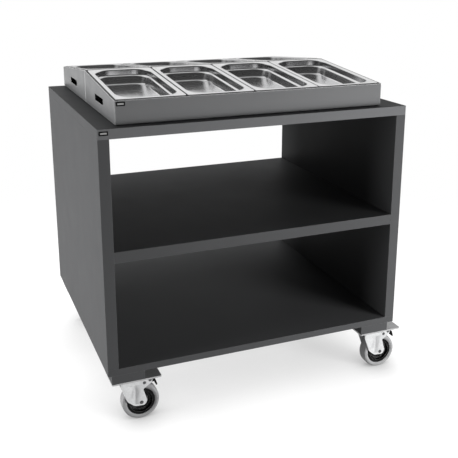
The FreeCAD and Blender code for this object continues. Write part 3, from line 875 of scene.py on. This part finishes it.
def axle_mesh(outer):
    """Axle bolt: low domed head in front, nut on its washer and thread end behind."""
    washed = outer + WASHER
    thread = outer + AXLE_NUT + THREAD_END
    shank = [
        (-outer, AXLE_RADIUS),
        (thread - THREAD_CHAMFER, AXLE_RADIUS),
        (thread, AXLE_RADIUS - THREAD_CHAMFER),
    ]
    return joined("axle_bolt", [
        round_rings(dome(-outer, -AXLE_HEAD, AXLE_HEAD_RADIUS, AXLE_HEAD_FLAT)),
        hex_rings(AXLE_NUT_WIDTH, washed, outer + AXLE_NUT),
        round_rings([(outer, WASHER_RADIUS), (washed, WASHER_RADIUS)]),
        round_rings(shank),
    ])


def rivet_mesh(places, outer):
    """Rivets across the fork, domed over at both ends."""
    parts = []
    for place in places:
        for side in (-1, 1):
            head = dome(side * outer, side * RIVET_HEIGHT, RIVET_RADIUS, RIVET_FLAT)
            parts.append(round_rings(head, place))
        parts.append(round_rings([(-outer, RIVET_SHANK), (outer, RIVET_SHANK)], place))
    return joined("brake_rivets", parts, RIVET_SHARP)


def fork_crown(bend_base, outer):
    """Crown of a fork, bent down at both sides."""
    reach = outer - FORK_BEND
    turns = [math.pi / 2 * step / ARC_STEPS for step in range(ARC_STEPS + 1)]
    arches = []
    for radius in (FORK_BEND, FORK_BEND - FORK_SHEET):
        half = [Vector((reach + radius * math.cos(a), bend_base + radius * math.sin(a))) for a in turns]
        arches.append(half + [Vector((-p.x, p.y)) for p in reversed(half)])
    loop = arches[0] + list(reversed(arches[1]))
    rings = [[Vector((x, p.x, p.y)) for p in loop] for x in (-FORK_CROWN, FORK_CROWN)]
    return ring_mesh("fork_crown", rings)


def crease_cutter(middle):
    """Upright round-ended bar that cuts the crease into a leg."""
    work = bmesh.new()
    bmesh.ops.create_uvsphere(work, u_segments=2 * CREASE_STEPS, v_segments=CREASE_STEPS,
                              radius=CREASE_RADIUS)
    for vertex in work.verts:
        if abs(vertex.co.z) > TINY:
            vertex.co.z += math.copysign(CREASE_HALF, vertex.co.z)
        vertex.co += middle
    return mesh_from(work, "fork_crease")


def fork_mesh(axle, pin, crown_top, outer):
    """Fork pressed from one sheet, round the swivel axis: bent crown, and two legs with ear and crease."""
    inner = outer - FORK_SHEET
    bend_base = crown_top - FORK_BEND
    side = outline([
        (-FORK_CROWN, bend_base, 0.0),
        (-FORK_CROWN, axle.z + FORK_BROW, FORK_BROW_ROUND),
        *about(axle, FORK_LEG),
        *about(pin, FORK_EAR),
        (FORK_CROWN, bend_base, 0.0),
    ])
    cheeks = [prism("fork_cheek", side, *faces) for faces in ((-outer, -inner), (inner, outer))]
    crease_y = outer + CREASE_RADIUS - CREASE_DEPTH
    creases = [
        crease_cutter(Vector((axle.x - CREASE_FRONT, face * crease_y, axle.z + CREASE_RISE)))
        for face in (-1, 1)
    ]
    operations = ["UNION"] * len(cheeks) + ["DIFFERENCE"] * len(creases)
    crown = fork_crown(bend_base, outer)
    return combined("castor_fork_pressing", crown, cheeks + creases, operations, FORK_EDGE, "zinc")


def pedal_mesh(pin, hub_half):
    """Brake pedal: hub on its pin, arm with the shoe over the tyre, and a tilted foot plate."""
    arm = prism("pedal_arm", outline(about(pin, PEDAL_ARM)), -PEDAL_ARM_HALF, PEDAL_ARM_HALF)
    plate = prism("pedal_plate", outline(about(pin, PEDAL_PLATE)), -PEDAL_PLATE_HALF, PEDAL_PLATE_HALF)
    hub_rings = round_rings([(-hub_half, PEDAL_HUB), (hub_half, PEDAL_HUB)], (pin.x, pin.z))
    hub = ring_mesh("pedal_hub", hub_rings)
    operations = ["UNION", "UNION"]
    return combined("brake_pedal_moulding", arm, [plate, hub], operations, PEDAL_EDGE, "pedal_plastic")


def make_castors():
    """Wheel, tyre, axle, fork, rivets and pedal of every castor, sharing their meshes."""
    low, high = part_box("tyre_front_left")
    fork_low, fork_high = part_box("castor_fork_front_left")
    race_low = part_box("swivel_races")[0]
    swivel = joint("front_left_swivel")[0].xy.to_3d()
    axle = joint("front_left_roll")[0] - swivel
    pin = joint("front_left_brake")[0] - swivel
    radius, half_width = (high.z - low.z) / 2, (high.y - low.y) / 2
    outer = (fork_high.y - fork_low.y) / 2
    rivets = [(pin.x, pin.z), (axle.x + STOP_RIVET[0], axle.z + STOP_RIVET[1])]
    meshes = {
        "tyre": (tyre_mesh(radius, half_width), axle, "tyre_rubber"),
        "wheel_centre": (wheel_mesh(radius - TYRE_HEIGHT, half_width + HUB_PROUD), axle, "wheel_plastic"),
        "axle_bolt": (axle_mesh(outer), axle, "bolt_steel"),
        "castor_fork": (fork_mesh(axle, pin, race_low.z - SWIVEL_GAP, outer), Vector(), "zinc"),
        "brake_pins": (rivet_mesh(rivets, outer), Vector(), "bolt_steel"),
        "brake_pedal": (pedal_mesh(pin, outer - FORK_SHEET - PEDAL_GAP), Vector(), "pedal_plastic"),
    }
    for mesh, _, slot in meshes.values():
        mesh.materials.clear()
        mesh.materials.append(MATERIALS[slot])
    for corner in CORNERS:
        axis = joint(corner + "_swivel")[0].xy.to_3d()
        for name, (mesh, place, _) in meshes.items():
            piece = placed("%s_%s_form" % (name, corner), mesh)
            piece.location = axis + place
            stand_for(piece, name + "_" + corner)


def make_badges():
    """Two small blank plates: on the front edge of the top panel, and on the front of the front pan box."""
    for name, node, body, drop in BADGES:
        low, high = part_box(node)
        points = outline([
            (0.0, 0.0, BADGE_ROUND),
            (BADGE_LENGTH, 0.0, BADGE_ROUND),
            (BADGE_LENGTH, BADGE_HEIGHT, BADGE_ROUND),
            (0.0, BADGE_HEIGHT, BADGE_ROUND),
        ])
        plate = prism(name, points, -BADGE_THICKNESS, 0.0)
        piece = placed(name, combined(name, plate, [], [], BADGE_EDGE, "badge"))
        piece.location = Vector((low.x + BADGE_INSET, low.y, high.z - drop - BADGE_HEIGHT))
        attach(piece, body)


def aim(thing, way):
    """Turns a camera or lamp to look along a direction."""
    thing.rotation_mode = "QUATERNION"
    thing.rotation_quaternion = way.to_track_quat("-Z", "Y")


def make_camera():
    """Camera at the photograph's viewpoint."""
    data = bpy.data.cameras.new("camera")
    data.sensor_width = SENSOR
    data.lens = FOCAL_PIXELS / IMAGE_SIZE * SENSOR
    data.shift_y = (CENTRE_ROW - IMAGE_SIZE / 2) / IMAGE_SIZE
    camera = placed("camera", data)
    camera.location = CAMERA_PLACE
    level = math.cos(CAMERA_PITCH)
    right, ahead = math.sin(CAMERA_YAW) * level, math.cos(CAMERA_YAW) * level
    aim(camera, Vector((right, ahead, -math.sin(CAMERA_PITCH))))
    bpy.context.scene.camera = camera


def make_soft_boxes():
    """Square lamps that metal doesn't mirror: on the left, at the front right, above, and low behind."""
    for name, place, target, size, power in SOFT_BOXES:
        data = bpy.data.lights.new(name, "AREA")
        data.size = size
        data.energy = power
        lamp = placed(name, data)
        lamp.location = place
        lamp.visible_glossy = False
        aim(lamp, Vector(target) - Vector(place))


def make_world():
    """White backdrop for the camera, a fill light, and a room to mirror, darker low down and in front."""
    world = bpy.data.worlds.new("studio")
    bpy.context.scene.world = world
    world.use_nodes = True
    tree = Nodes(world.node_tree)
    rays = tree.add("LightPath").outputs
    direction = tree.parts(tree.add("TexCoord").outputs["Generated"])
    by_depth = tree.ranged(direction["Y"], *ROOM_BY_DEPTH)
    by_height = tree.ranged(direction["Z"], *ROOM_BY_HEIGHT)
    light = tree.blend(rays["Is Glossy Ray"], FILL_LIGHT, tree.math("MULTIPLY", by_depth, by_height))
    direct = tree.math("MAXIMUM", rays["Is Camera Ray"], rays["Is Transmission Ray"])
    background = tree.nodes["Background"]
    background.inputs["Color"].default_value = WHITE
    tree.link(tree.blend(direct, light, 1.0), background.inputs["Strength"])


def make_floor():
    """Pale floor that keeps the shadow of the cart and is otherwise as white as the backdrop."""
    half = FLOOR_HALF
    corners = [(-half, -half, 0), (half, -half, 0), (half, half, 0), (-half, half, 0)]
    mesh = mesh_of("floor", corners, [(0, 1, 2, 3)])
    mesh.materials.append(floor_material())
    floor = placed("floor", mesh)


dress_cad_nodes()
for board in BOARDS:
    make_board(board)
for corner in CORNERS:
    make_board("castor_block_" + corner)
for end in ENDS:
    make_pan_box(end)
make_pans()
make_castors()
make_badges()
make_camera()
make_world()
make_floor()
make_soft_boxes()
bpy.context.scene.view_settings.view_transform = "Standard"
